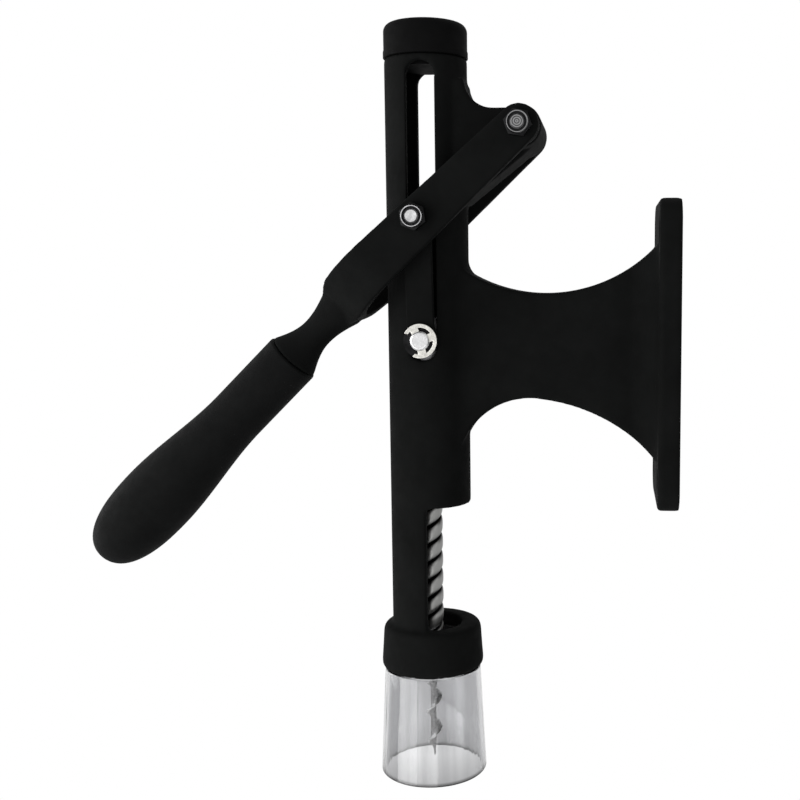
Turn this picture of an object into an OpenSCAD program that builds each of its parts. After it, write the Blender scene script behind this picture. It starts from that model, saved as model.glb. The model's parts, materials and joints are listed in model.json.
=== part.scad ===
// Wall-mounted corkscrew with one lever.
// The origin is the middle of the wall plate's back face, where it meets the wall.
// +X points into the wall, +Z is up, and the lever swings in the plane Y = 0.
// All lengths are in millimetres and all angles in degrees.

/* [Tube] */
// Distance from the wall to the tube's axis
wall_reach = 107; // [104:1:125]
// Outer diameter of the tube
tube_d = 35; // [34:0.5:38]
// Bore of the tube
bore_d = 26; // [25:0.5:27]
// Height of the tube's top above the middle of the plate
tube_top = 123.95; // [120:0.05:135]
// Depth of the tube's lower end below the middle of the plate
tube_drop = 65.75; // [64:0.25:80]
// Width of the slot that the cross pin runs in
slot_w = 12; // [9:0.5:13]
// Height of the solid band above the slot
slot_land = 2.7; // [2:0.1:8]
// Length of slot below the middle of the cross pin
slot_spare = 8.8; // [7:0.1:12]

/* [Strut and collar] */
// Height of the open window under the tube
window_h = 54; // [46:1:70]
// How far the half-tube strut reaches past the tube's axis
strut_edge = 0.5; // [-3:0.5:3]
// Height of the collar
collar_h = 19.8; // [17:0.1:24]
// Diameter of the collar at its top
collar_top_d = 43; // [42:0.5:48]
// Diameter of the collar at its foot
collar_d = 45; // [44.5:0.5:50]
// Radius of the collar's rounded edges
collar_round = 2.6; // [0.5:0.1:3]
// Thickness of the collar's top
collar_roof = 6; // [4:0.5:8]

/* [Bell] */
// Diameter of the bell at its rim
bell_d = 47; // [45:0.5:54]
// Diameter of the bell where it leaves the collar
bell_neck_d = 42.4; // [41.5:0.1:44]
// Height of the bell below the collar
bell_h = 47.3; // [40:0.1:60]
// Thickness of the bell's wall
bell_wall = 2; // [1.5:0.1:3]
// Diameter of the bell's spigot in the collar
spigot_d = 39.6; // [38:0.1:40]
// Length of the bell's spigot
spigot_l = 10; // [7:0.5:10.5]
// Thickness of the rubber ring that the bottle meets
stop_ring_t = 3; // [2:0.1:3]

/* [Wall plate] */
// Width of the wall plate
plate_w = 60; // [56:1:80]
// Height of the wall plate
plate_h = 128.5; // [124:0.5:150]
// Thickness of the wall plate
plate_t = 9; // [6:0.5:12]
// Radius of the plate's corners
plate_corner = 10; // [3:0.5:12]
// Diameter of the screw holes
screw_d = 5.4; // [4:0.1:6.5]
// Diameter of the countersinks
screw_sink_d = 10.4; // [9:0.1:12]
// Distance between the screw holes across the plate
screw_span = 42; // [40:1:44]
// Distance between the screw holes up the plate
screw_rise = 102; // [98:1:104]

/* [Bracket web] */
// Thickness of the web
web_t = 18; // [12:1:20]
// Height of the web's waist above the middle of the plate
waist_rise = 25.6; // [18:0.05:30]
// Depth of the web's waist below the middle of the plate
waist_drop = 19; // [12:0.05:24]
// Radius of the arch above the web
arch_top_r = 65; // [60:1:70]
// Distance of the upper arch's middle from the wall
arch_top_x = 56; // [50:0.5:58]
// Fillet between the upper arch and the tube
arch_fillet = 9; // [4:0.5:12]
// Radius of the lower arch on the wall side
arch_low_r = 77; // [70:1:84]
// Radius of the lower arch on the tube side
arch_tube_r = 31.5; // [29:0.5:34]
// Distance of the lower arch's top from the wall
arch_low_x = 62.5; // [60:0.5:64]
// Lean of the line through the middles of the lower arch's two rounds
arch_lean = 5.3; // [2:0.1:8]
// Fillet between the web and the plate
plate_fillet = 12; // [6:0.5:14]
// Fillet between the web and the tube
tube_fillet = 10; // [5:0.5:12]

/* [Pivot lug] */
// Distance of the lever's pivot from the tube's axis
pivot_offset = 41.5; // [38:0.5:44]
// Height of the lever's pivot above the middle of the plate
pivot_z = 93.45; // [90:0.05:96]
// Thickness of the lug
lug_t = 24; // [16:1:30]
// Radius of the hub round the pivot
hub_r = 8.8; // [8.5:0.1:10]
// Fillet between the lug's top and the tube
lug_fillet = 12; // [8:0.5:13]
// Height where the lug's lower edge meets the tube
lug_root = 63; // [56:1:68]
// Angle on the hub where the lug's lower edge leaves it, below level
lug_leave = 50; // [40:1:70]
// Outer diameter of the bush in the hub
bush_d = 10; // [9:0.5:12]

/* [Lever] */
// Angle of the grip below level at rest
lever_angle = 45; // [42:0.5:48]
// Distance between the lever's pivot and the links' pivot
crank_r = 56; // [54:0.5:58]
// Angle of the line between those pivots below level at rest
crank_angle = 40.6; // [39:0.1:42]
// Thickness of a fork arm
arm_t = 6; // [5:0.5:8]
// Radius of a fork arm's end
arm_end_r = 8.1; // [7.5:0.1:9]
// Width of a fork arm at the shoulder
arm_w = 21.2; // [20:0.1:22]
// Distance from the pivot to the inside of the fork's crotch
crotch_x = 102.5; // [101.5:0.5:104]
// Radius of the fork's crotch
crotch_r = 10; // [8:0.5:12]
// Length of the crotch in which the arms close in
bend_l = 23; // [20:0.5:26]
// Distance from the pivot to where the neck starts to narrow
neck_x = 108.5; // [107.5:0.5:110]
// Diameter of the neck at its waist
neck_d = 13.7; // [12.5:0.1:15]
// How far the neck's root lies inside the shoulder
root_step = 0.5; // [0.4:0.1:1.5]
// Length in which the neck narrows from its root
neck_root_l = 15.5; // [13:0.5:17]
// Width of the fork's tail inside the neck
tail_w = 10; // [8:0.5:11]
// Height of the fork's tail inside the neck
tail_h = 12; // [10:0.5:13]
// Distance from the pivot to the front of the grip
grip_x = 139.5; // [137:0.5:150]
// Length of the grip
grip_l = 127; // [110:1:140]
// Diameter of the grip at its front
grip_d = 24.4; // [22:0.1:28]
// Diameter of the grip at its widest
swell_d = 33.2; // [29:0.1:36]
// Distance from the grip's front to its widest place
swell_x = 90; // [80:1:96]
// Length of the grip's even part, as a share of the length to its widest place
even_share = 0.4; // [0.2:0.05:0.5]
// Radius of the grip's front edge
grip_lip = 1; // [0.5:0.1:1.5]
// Bluntness of the grip's end, where 2 is an ellipse
grip_blunt = 2.5; // [2:0.1:3.5]
// Diameter of the tang inside the grip
tang_d = 10; // [8:0.5:12]
// Solid length of grip behind the tang
grip_end = 14; // [12:0.5:20]
// Diameter of the grip screw's head
screw_head_d = 9; // [8:0.1:9.5]
// Height of the grip screw's head
screw_head_h = 5; // [4:0.1:6]
// Height of the dome on the grip screw's head
screw_dome = 1.6; // [1:0.1:2]
// Width of the grip screw's slot
screw_slot_w = 1.2; // [0.8:0.1:1.6]
// Diameter of the grip screw's thread
screw_thread_d = 5; // [4:0.1:5]
// Length of the grip screw in the tang
screw_grip_l = 8; // [6:0.5:12]

/* [Links and pins] */
// Distance between the pivots of a link
link_l = 50.6; // [49.5:0.1:52]
// Width of a link
link_w = 11.3; // [10:0.1:12]
// Thickness of a link
link_t = 4; // [3:0.5:5]
// Radius of a link's lower eye
link_eye_r = 7; // [6.5:0.1:7.5]
// Radius of a link's upper eye
link_top_r = 6.2; // [5.7:0.1:6.8]
// Diameter of the cross pin
pin_d = 8; // [7:0.1:8.5]
// Depth of the groove for a clip
pin_groove = 0.6; // [0.4:0.1:0.8]
// Length of the cross pin outside its clips
pin_proud = 1.5; // [1:0.1:2.5]
// Diameter of a clip
clip_d = 14.3; // [13:0.1:15]
// Inner diameter of a clip's ring
clip_in_d = 11.1; // [9.8:0.1:11.6]
// Width of a clip's teeth
clip_tooth = 3.4; // [2.6:0.1:3.6]
// Thickness of a clip
clip_t = 1; // [0.8:0.1:1.2]
// Angle between a clip's mouth and its outer teeth
tooth_turn = 82; // [74:1:90]
// Width of a clip's mouth at the pin's middle
clip_mouth = 3.4; // [2.6:0.1:4.2]
// Angle at which each side of a clip's mouth opens
mouth_flare = 34; // [28:1:40]
// Direction of a clip's mouth, seen from the front
clip_turn = 199; // [0:1:359]
// Thickness of the thin washers
washer_t = 0.8; // [0.5:0.1:1.2]

/* [Bolts and nuts] */
// Diameter of the bolts
bolt_d = 6; // [5:0.5:6.5]
// Width of a nut or bolt head across its flats
nut_af = 10; // [9.5:0.1:11]
// Height of a lock nut
nut_h = 6; // [5:0.1:7]
// Height of a lock nut's six-sided part
nut_hex_h = 4; // [3:0.1:4.6]
// Diameter of a lock nut's round collar
nut_collar_d = 9; // [8:0.1:9.4]
// Height of the bolt head
bolt_head_h = 4; // [3:0.1:5]
// Length of bolt outside its nut
bolt_proud = 0.6; // [0.2:0.1:2]
// Diameter of the sunk head on a link bolt
sunk_head_d = 11; // [9:0.5:12]

/* [Crosshead] */
// Height of the crosshead above the cross pin
crosshead_rise = 9; // [7:0.5:9.5]
// Depth of the crosshead below the cross pin
crosshead_drop = 17; // [16:0.5:20]
// Diameter of the pocket for the spindle's head
pocket_d = 17; // [16:0.5:19]
// Metal between the cross pin and that pocket
pocket_roof = 3; // [2:0.1:4]
// Thickness of the thrust washer
thrust_t = 1.5; // [1:0.1:2]
// Hole in the thrust washer
thrust_hole_d = 5.6; // [4:0.1:6]
// Width of the swivel nut's key slots
swivel_notch = 2; // [1.5:0.1:2.5]
// Height of the spindle's head
spindle_head_h = 3.5; // [3:0.1:4]

/* [Spindle and worm] */
// Diameter of the spindle
spindle_d = 10; // [9:0.1:10.6]
// Rise of a spindle groove in one turn
spindle_lead = 16; // [12:0.5:20]
// Radius of a spindle groove
groove_r = 1.8; // [1.2:0.1:2]
// Distance of a groove's middle outside the spindle
groove_out = 0.4; // [0.2:0.1:0.8]
// Diameter of the worm
worm_d = 7; // [6:0.1:7.2]
// Rise of the worm's blade in one turn
worm_pitch = 14; // [11:0.5:16]
// Length of the worm under the spindle
worm_l = 55; // [50:0.5:60]
// Length of the worm's point
worm_point = 8.5; // [7:0.5:14]
// Diameter of the worm's core
worm_core_d = 2.8; // [2.2:0.1:3.2]
// Thickness of the worm's blade
worm_blade_t = 1.9; // [1.5:0.1:2.4]
// Width of the worm's tip as a share of the worm's width
tip_share = 0.06; // [0.04:0.01:0.12]
// Height of the cone between the spindle and the worm
worm_cone_h = 3.6; // [2:0.1:6]
// Height of the worm's tip above the bell's rim
tip_rise = 5; // [3:0.5:9]
// Diameter of the worm's shank in the spindle
shank_d = 5; // [4:0.1:5]
// Length of the worm's shank
shank_l = 8; // [6:0.5:12]

/* [Drive nut] */
// Length of the drive nut
drive_nut_l = 14; // [10:0.5:18]
// Width of a key
key_w = 4; // [3:0.1:5]
// How far a key stands out of the nut
key_proud = 1.8; // [1.2:0.1:2]
// Thickness of a retaining ring
ring_t = 1.4; // [1:0.1:1.8]
// Radial width of a retaining ring
ring_w = 3; // [2.5:0.1:3.5]
// Depth of a retaining ring's groove
ring_groove = 1; // [0.7:0.1:1.3]
// Metal below the lower retaining ring
ring_land = 2; // [1.5:0.1:4]
// Free height between the upper ring and the crosshead
ring_room = 3; // [2:0.1:5]

/* [Cap] */
// Height of the cap above the tube
cap_h = 14.3; // [12:0.1:18]
// How far the cap's bead stands out of the tube
cap_bead = 0.4; // [0.2:0.1:1.5]
// How far the cap's side stands out of the tube
cap_side = 0.15; // [0.05:0.05:0.2]
// Height of the bead
bead_h = 3; // [2:0.1:4]
// Radius of the cap's upper edge
cap_round = 3.4; // [1:0.1:4]
// Length of the cap's spigot in the tube
cap_spigot = 4; // [3:0.1:4.5]

/* [Fits] */
// Radial clearance of a turning fit
run_gap = 0.08; // [0.03:0.01:0.1]
// Radial clearance of a piece that slides in the tube
slide_gap = 0.3; // [0.1:0.05:0.4]
// Clearance between faces that pass each other
face_gap = 0.4; // [0.3:0.05:0.6]
// Clearance of a seated piece
seat_gap = 0.1; // [0.05:0.01:0.15]

/* [Hidden] */
$fn = 64;

cast_black = [0.13, 0.13, 0.14];
plastic_black = [0.09, 0.09, 0.1];
bright_steel = [0.78, 0.78, 0.8];
dark_steel = [0.4, 0.4, 0.42];
bronze = [0.7, 0.55, 0.3];
clear_grey = [0.75, 0.77, 0.8, 0.4];
rubber_black = [0.06, 0.06, 0.06];

// Pivots as [X, Z]: the crank turns about the pivot, the link joins the crank to the cross pin.
pivot_at = [pivot_offset - wall_reach, pivot_z];
crank_at = pivot_at - crank_r * [cos(crank_angle), sin(crank_angle)];
pin_at = [-wall_reach, crank_at[1] - sqrt(pow(link_l, 2) - pow(crank_at[0] + wall_reach, 2))];

// Depth of a straight side inside its tangent
hair = 0.02;

// How far a cut runs past a face
lap = 1;

// Steps in one turn of a helix
steps_per_turn = 16;

// Levels along the tube
tube_end = -tube_drop;
slot_top = tube_top - slot_land;
slot_low = pin_at[1] - slot_spare;
collar_top = tube_end - window_h;
collar_foot = collar_top - collar_h;
bell_rim = collar_foot - bell_h;
spindle_foot = bell_rim + tip_rise + worm_l;
crosshead_foot = pin_at[1] - crosshead_drop;
pocket_top = pin_at[1] - pin_d / 2 - pocket_roof;
head_top = pocket_top - thrust_t - face_gap / 2;
head_foot = head_top - spindle_head_h;
nut_foot = tube_end + ring_land + ring_t + face_gap / 2;
upper_ring_z = crosshead_foot - ring_room - ring_t;

// Distances from the middle plane to the link and to the fork arm
link_in = tube_d / 2 + face_gap;
link_out = link_in + link_t;
arm_in = link_out + face_gap;
arm_out = arm_in + arm_t;
hub_half = arm_in - washer_t - seat_gap;
clip_y = link_out + face_gap + washer_t;
pin_half = clip_y + clip_t + pin_proud;

// The fork's own axes start at the pivot, with the first along the grip.
grip_y = crank_r * sin(lever_angle - crank_angle);
crank_x = crank_r * cos(lever_angle - crank_angle);
tang_end = grip_x + grip_l - grip_end;
bend_x = crotch_x - bend_l;

// The bell's seat in the collar, and the pieces that slide in the bore
recess_d = spigot_d + 2 * seat_gap;
recess_top = collar_top - collar_roof;
slider_d = bore_d - 2 * slide_gap;

// A flat outline round two circles. Its straight sides lie a hair inside the tangents.
module belt(a, ra, b, rb) {
    heading = atan2(b[1] - a[1], b[0] - a[0]);
    spread = acos((ra - rb) / norm(b - a));
    left = [cos(heading + spread), sin(heading + spread)];
    right = [cos(heading - spread), sin(heading - spread)];
    translate(a) circle(ra);
    translate(b) circle(rb);
    polygon([a + (ra - hair) * left, a + (ra - hair) * right,
        b + (rb - hair) * right, b + (rb - hair) * left]);
}

// An outline in X and Z, made as thick as t about the middle plane.
module upright(t) {
    rotate([90, 0, 0]) linear_extrude(t, center = true) children();
}

// Moves a piece from the Z axis to the tube's axis.
module on_tube(z = 0) {
    translate([-wall_reach, 0, z]) children();
}

// Stands a piece on a face at distance y from the middle plane, with its Z axis pointing away from it.
module outward(place, y, side) {
    translate([place[0], side * y, place[1]]) rotate([-90 * side, 0, 0]) children();
}

// A straight hole or shaft along Y.
module along_y(place, half, r) {
    translate([place[0], 0, place[1]]) rotate([90, 0, 0]) cylinder(h = 2 * half, r = r, center = true);
}

// Places a piece that is drawn in the fork's own axes.
module on_lever() {
    translate([pivot_at[0], 0, pivot_at[1]]) rotate([0, 180 - lever_angle, 0]) rotate([-90, 0, 0]) children();
}

// Stands a turned piece on the grip's axis at distance x from the pivot.
module on_grip(x = 0) {
    on_lever() translate([x, grip_y, 0]) rotate([0, 90, 0]) children();
}

module ring(h, r_out, r_in) {
    difference() {
        cylinder(h = h, r = r_out);
        translate([0, 0, -lap]) cylinder(h = h + 2 * lap, r = r_in);
    }
}

module rounded_plate(w, h, r) {
    square([w - 2 * r, h], center = true);
    square([w, h - 2 * r], center = true);
    for (x = [-1, 1], y = [-1, 1]) translate([x * (w / 2 - r), y * (h / 2 - r)]) circle(r);
}

module wall_plate() {
    difference() {
        translate([-plate_t, 0, 0]) rotate([90, 0, 90])
            linear_extrude(plate_t) rounded_plate(plate_w, plate_h, plate_corner);
        for (y = [-1, 1], z = [-1, 1])
            translate([-plate_t, y * screw_span / 2, z * screw_rise / 2]) rotate([0, 90, 0]) screw_hole();
    }
}

module screw_hole() {
    sink = (screw_sink_d - screw_d) / 2;
    translate([0, 0, -lap]) cylinder(h = plate_t + 2 * lap, d = screw_d);
    translate([0, 0, -hair]) cylinder(h = sink, d1 = screw_sink_d, d2 = screw_d);
}

// The web seen from the side: a block with an arch above it and a two-part arch below it.
// The web ends where the lower arch is almost upright beside the tube.
module web_side() {
    web_toe = arch_tube_r / 4;
    difference() {
        translate([-wall_reach, -plate_h / 2]) square([wall_reach - plate_t, plate_h]);
        translate([-arch_top_x, waist_rise + arch_top_r]) circle(arch_top_r);
        translate([-arch_low_x, -waist_drop - arch_tube_r]) {
            intersection() {
                circle(arch_tube_r);
                polygon(arch_tube_r * [[0, 0], [1, 2], [-1, 2], [-1, 0]]);
            }
            rotate(-arch_lean) intersection() {
                translate([0, arch_tube_r - arch_low_r - seat_gap]) circle(arch_low_r);
                translate([0, -2 * arch_low_r]) square(3 * arch_low_r);
            }
            translate([arch_low_x - wall_reach, -plate_h])
                square([wall_reach - arch_low_x + lap, plate_h + web_toe]);
        }
    }
}

// The web seen from above, with fillets that run a little into the tube and the plate.
module web_plan() {
    side = web_t / 2;
    reach = tube_d / 2 + tube_fillet - seat_gap;
    fillet_y = side + tube_fillet;
    fillet_x = sqrt(pow(reach, 2) - pow(fillet_y, 2));
    touch = [fillet_x, fillet_y] * tube_d / 2 / reach;
    flare_x = wall_reach - plate_t - plate_fillet + seat_gap;
    flare_y = side + plate_fillet;
    translate([-wall_reach, 0]) difference() {
        union() {
            translate([0, -side]) square([wall_reach - plate_t, web_t]);
            polygon([[0, 0], touch, [fillet_x, side], [fillet_x, -side], [touch[0], -touch[1]]]);
            translate([flare_x, lap - flare_y]) square([plate_fillet, 2 * (flare_y - lap)]);
        }
        for (s = [-1, 1]) {
            translate([fillet_x, s * fillet_y]) circle(tube_fillet);
            translate([flare_x, s * flare_y]) circle(plate_fillet);
        }
    }
}

// The turned fillet between the upper arch and the tube. It lies a little inside both faces.
module arch_corner() {
    tube_r = tube_d / 2;
    arch_at = [wall_reach - arch_top_x, waist_rise + arch_top_r];
    inner_r = arch_top_r - arch_fillet + seat_gap;
    fillet_x = tube_r + arch_fillet - seat_gap;
    fillet_at = [fillet_x, arch_at[1] - sqrt(pow(inner_r, 2) - pow(fillet_x - arch_at[0], 2))];
    touch = arch_at + (fillet_at - arch_at) * (arch_top_r + lap) / inner_r;
    on_tube() rotate_extrude() difference() {
        polygon([[tube_r - lap, fillet_at[1]], fillet_at, touch, [tube_r - lap, touch[1]]]);
        translate(fillet_at) circle(arch_fillet);
    }
}

module bracket_web() {
    intersection() {
        union() {
            upright(plate_w) web_side();
            arch_corner();
        }
        translate([0, 0, -plate_h / 2]) linear_extrude(plate_h) web_plan();
    }
}

module pivot_lug() {
    lug_top = pivot_at[1] + hub_r;
    tube_side = tube_d / 2 - wall_reach;
    fillet_at = [tube_side + lug_fillet, lug_top + lug_fillet];
    under = pivot_at + hub_r * [cos(lug_leave), -sin(lug_leave)];
    upright(lug_t) {
        polygon([[-wall_reach, lug_top], [pivot_at[0], lug_top], pivot_at, under,
            [tube_side, lug_root], [-wall_reach, lug_root]]);
        difference() {
            translate([-wall_reach, lug_top - lap])
                square([fillet_at[0] + wall_reach, fillet_at[1] - lug_top + lap]);
            translate(fillet_at) circle(lug_fillet);
        }
    }
    along_y(pivot_at, hub_half, hub_r);
}

module collar() {
    foot_r = collar_d / 2;
    top_r = collar_top_d / 2;
    r = collar_round;
    rotate_extrude() polygon(concat(
        [[bore_d / 2, 0]],
        [for (a = [90:-15:0]) [top_r - r + r * cos(a), -r + r * sin(a)]],
        [for (a = [0:-15:-90]) [foot_r - r + r * cos(a), r - collar_h + r * sin(a)]],
        [[recess_d / 2, -collar_h], [recess_d / 2, -collar_roof], [bore_d / 2, -collar_roof]]));
}

module slot() {
    r = slot_w / 2;
    upright(2 * tube_d) belt([-wall_reach, slot_low + r], r, [-wall_reach, slot_top - r], r);
}

// The grooves that hold the two retaining rings, and the keyways of the drive nut.
module tube_grooves() {
    ring_r = bore_d / 2 + ring_groove + seat_gap;
    key_r = slider_d / 2 + key_proud + slide_gap;
    for (z = [tube_end + ring_land, upper_ring_z])
        on_tube(z - seat_gap / 2) cylinder(h = ring_t + seat_gap, r = ring_r);
    on_tube(tube_end - lap)
        translate([-key_r, -key_w / 2 - seat_gap, 0])
            cube([2 * key_r, key_w + 2 * seat_gap, upper_ring_z - tube_end + lap]);
}

module body_casting() color(cast_black) {
    difference() {
        union() {
            wall_plate();
            bracket_web();
            pivot_lug();
            on_tube(tube_end) cylinder(h = tube_top - tube_end, d = tube_d);
            on_tube(collar_top - lap) intersection() {
                cylinder(h = window_h + 2 * lap, d = tube_d);
                translate([-tube_d, -tube_d, 0]) cube([tube_d + strut_edge, 2 * tube_d, window_h + 2 * lap]);
            }
            on_tube(collar_top) collar();
        }
        on_tube(collar_foot - lap) cylinder(h = tube_top - collar_foot + 2 * lap, d = bore_d);
        slot();
        tube_grooves();
        along_y(pivot_at, arm_out, bush_d / 2 + seat_gap);
    }
}

module top_cap() color(plastic_black) {
    side_r = tube_d / 2 + cap_side;
    bead_r = tube_d / 2 + cap_bead;
    r = cap_round;
    on_tube(tube_top) rotate_extrude() polygon(concat(
        [[0, -cap_spigot], [bore_d / 2 - seat_gap, -cap_spigot], [bore_d / 2 - seat_gap, 0], [bead_r, 0],
            [bead_r, bead_h], [side_r, bead_h + cap_bead]],
        [for (a = [0:15:90]) [side_r - r + r * cos(a), cap_h - r + r * sin(a)]],
        [[0, cap_h]]));
}

module bottle_bell() color(clear_grey) {
    neck_r = bell_neck_d / 2;
    rim_r = bell_d / 2;
    spigot_r = spigot_d / 2;
    on_tube(collar_foot) rotate_extrude() polygon([
        [spigot_r - bell_wall, spigot_l], [spigot_r, spigot_l], [spigot_r, -seat_gap], [neck_r, -seat_gap],
        [rim_r, -bell_h], [rim_r - bell_wall, -bell_h], [neck_r - bell_wall, -bell_wall],
        [spigot_r - bell_wall, 0]]);
}

module bottle_stop_ring() color(rubber_black) {
    on_tube(recess_top - stop_ring_t - seat_gap)
        ring(stop_ring_t, recess_d / 2 - seat_gap, bore_d / 2);
}

// A retaining ring with the gap that lets it be squeezed in.
module retaining_ring(z) {
    r_out = bore_d / 2 + ring_groove;
    on_tube(z) difference() {
        ring(ring_t, r_out, r_out - ring_w);
        translate([-ring_w / 2, 0, -lap]) cube([ring_w, r_out + lap, ring_t + 2 * lap]);
    }
}

module lower_ring() color(dark_steel) retaining_ring(tube_end + ring_land);

module upper_ring() color(dark_steel) retaining_ring(upper_ring_z);

module pivot_bush() color(bronze) difference() {
    along_y(pivot_at, hub_half, bush_d / 2);
    along_y(pivot_at, arm_out, bolt_d / 2 + run_gap);
}

// The fork seen from the side: each arm grows from its pivot end to the shoulder, then runs into the neck.
module fork_side() {
    belt([0, 0], arm_end_r, [crotch_x, grip_y], arm_w / 2);
    belt([crotch_x, grip_y], arm_w / 2, [neck_x + neck_d / 2, grip_y], tail_h / 2);
}

// The fork seen from above: two arms that close in to the neck.
module fork_plan() {
    difference() {
        union() {
            translate([-arm_end_r, -arm_out]) square([bend_x + arm_end_r, 2 * arm_out]);
            belt([bend_x, 0], arm_out, [neck_x, 0], tail_w / 2);
        }
        translate([-arm_end_r - lap, -arm_in]) square([bend_x + arm_end_r + lap, 2 * arm_in]);
        belt([bend_x, 0], arm_in, [crotch_x - crotch_r, 0], crotch_r);
    }
}

// The round neck, which narrows from its root in the fork to its waist and flares to meet the grip.
module fork_neck() {
    neck_r = neck_d / 2;
    root_x = crotch_x + lap;
    waist_x = neck_x + neck_root_l;
    root = arm_w / 2 - root_step - neck_r;
    flare = grip_d / 2 - face_gap - neck_r;
    on_grip() rotate_extrude() polygon(concat(
        [[0, root_x], [neck_r + root, root_x]],
        [for (k = [1:-0.125:0]) [neck_r + root * (1 - cos(90 * k)), waist_x - neck_root_l * k]],
        [for (k = [0.125:0.125:1]) [neck_r + flare * (1 - cos(90 * k)), waist_x + (grip_x - waist_x) * k]],
        [[0, grip_x]]));
}

module lever_fork() color(cast_black) {
    difference() {
        union() {
            on_lever() intersection() {
                linear_extrude(2 * arm_out, center = true) fork_side();
                rotate([90, 0, 0]) linear_extrude(crank_r, center = true) fork_plan();
            }
            fork_neck();
            on_grip(grip_x - lap) cylinder(h = tang_end - grip_x + lap, d = tang_d);
        }
        along_y(pivot_at, arm_out + lap, bolt_d / 2 + seat_gap);
        along_y(crank_at, arm_out + lap, bolt_d / 2 + seat_gap);
        for (side = [-1, 1]) outward(crank_at, arm_in - seat_gap, side) sunk_head(3 * seat_gap);
        on_grip(tang_end - screw_grip_l) cylinder(h = screw_grip_l + lap, d = screw_thread_d + 2 * seat_gap);
    }
}

// Radius of the grip at distance s from its front.
function grip_r(s) =
    let (start = swell_x * even_share, k = min(max((s - start) / (swell_x - start), 0), 1))
    s <= swell_x ? grip_d / 2 + (swell_d - grip_d) / 2 * k * k * (3 - 2 * k)
        : swell_d / 2 * pow(max(1 - pow((s - swell_x) / (grip_l - swell_x), grip_blunt), 0), 1 / grip_blunt);

module handle_grip() color(plastic_black) {
    tip_steps = [for (a = [10:10:90]) swell_x + (grip_l - swell_x) * sin(a)];
    stations = concat([for (s = [grip_lip:swell_x / 18:swell_x]) s], tip_steps);
    difference() {
        on_grip(grip_x + seat_gap) rotate_extrude() polygon(concat(
            [[0, 0], [grip_d / 2 - grip_lip, 0]],
            [for (s = stations) [grip_r(s), s]]));
        on_grip(grip_x - lap) cylinder(h = tang_end - grip_x + lap + seat_gap, d = tang_d + 2 * seat_gap);
        on_grip(tang_end) cylinder(h = grip_end + lap, d = screw_thread_d + 2 * seat_gap);
        on_grip(grip_x + grip_l - screw_head_h)
            cylinder(h = 2 * screw_head_h, d = screw_head_d + 2 * seat_gap);
    }
}

module handle_screw() color(bright_steel) {
    head_r = screw_head_d / 2;
    thread_l = screw_grip_l + grip_end - screw_head_h;
    difference() {
        union() {
            on_grip(tang_end - screw_grip_l + seat_gap) cylinder(h = thread_l + seat_gap, d = screw_thread_d);
            on_grip(grip_x + grip_l - screw_head_h + seat_gap) rotate_extrude() polygon(concat(
                [[0, 0], [head_r, 0]],
                [for (a = [0:15:90]) [head_r * cos(a), screw_head_h - screw_dome * (1 - sin(a))]]));
        }
        on_grip(grip_x + grip_l - screw_dome) translate([-screw_slot_w / 2, -head_r, 0])
            cube([screw_slot_w, 2 * head_r, 2 * screw_dome]);
    }
}

module hex_prism(h) {
    cylinder(h = h, d = nut_af / cos(30), $fn = 6);
}

module lock_nut() {
    difference() {
        union() {
            hex_prism(nut_hex_h);
            cylinder(h = nut_h, d = nut_collar_d);
        }
        translate([0, 0, -lap]) cylinder(h = nut_h + 2 * lap, d = bolt_d + 2 * seat_gap);
    }
}

module pivot_bolt() color(bright_steel) {
    outward(pivot_at, -arm_out, 1) cylinder(h = 2 * arm_out, d = bolt_d);
    outward(pivot_at, arm_out, -1) cylinder(h = nut_h + bolt_proud, d = bolt_d);
    outward(pivot_at, arm_out, 1) hex_prism(bolt_head_h);
}

module pivot_nut() color(bright_steel) outward(pivot_at, arm_out, -1) lock_nut();

module pivot_washers() color(dark_steel) {
    for (side = [-1, 1])
        outward(pivot_at, arm_in - washer_t, side) ring(washer_t, arm_end_r, bolt_d / 2 + seat_gap);
}

// The sunk head of a link bolt, widened by gap where it is used as a cut.
module sunk_head(gap = 0) {
    sink = (sunk_head_d - bolt_d) / 2;
    cylinder(h = sink + gap, r1 = sunk_head_d / 2 + gap, r2 = bolt_d / 2);
}

module link_bolts() color(bright_steel) {
    for (side = [-1, 1]) {
        outward(crank_at, arm_in + seat_gap, side) sunk_head();
        outward(crank_at, arm_in + seat_gap, side)
            cylinder(h = arm_t + nut_h + bolt_proud, d = bolt_d);
    }
}

module link_nuts() color(bright_steel) {
    for (side = [-1, 1]) outward(crank_at, arm_out, side) lock_nut();
}

module link(y) {
    translate([0, y, 0]) difference() {
        upright(link_t) {
            belt(pin_at, link_w / 2, crank_at, link_w / 2);
            translate(pin_at) circle(link_eye_r);
            translate(crank_at) circle(link_top_r);
        }
        along_y(pin_at, tube_d, pin_d / 2 + run_gap);
        along_y(crank_at, tube_d, bolt_d / 2 + run_gap);
    }
}

module front_link() color(cast_black) link(-(link_in + link_out) / 2);

module rear_link() color(cast_black) link((link_in + link_out) / 2);

module crosshead() color(dark_steel) {
    difference() {
        on_tube(crosshead_foot)
            cylinder(h = crosshead_drop + crosshead_rise, d = slider_d);
        along_y(pin_at, bore_d, pin_d / 2 + seat_gap);
        on_tube(crosshead_foot - lap) cylinder(h = pocket_top - crosshead_foot + lap, d = pocket_d);
    }
}

module cross_pin() color(bright_steel) {
    chamfer = pin_proud / 2;
    difference() {
        union() {
            along_y(pin_at, pin_half - chamfer, pin_d / 2);
            for (side = [-1, 1]) outward(pin_at, pin_half - chamfer, side)
                cylinder(h = chamfer, r1 = pin_d / 2, r2 = pin_d / 2 - chamfer);
        }
        for (side = [-1, 1]) outward(pin_at, clip_y, side)
            ring(clip_t, pin_d, pin_d / 2 - pin_groove);
    }
}

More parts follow.
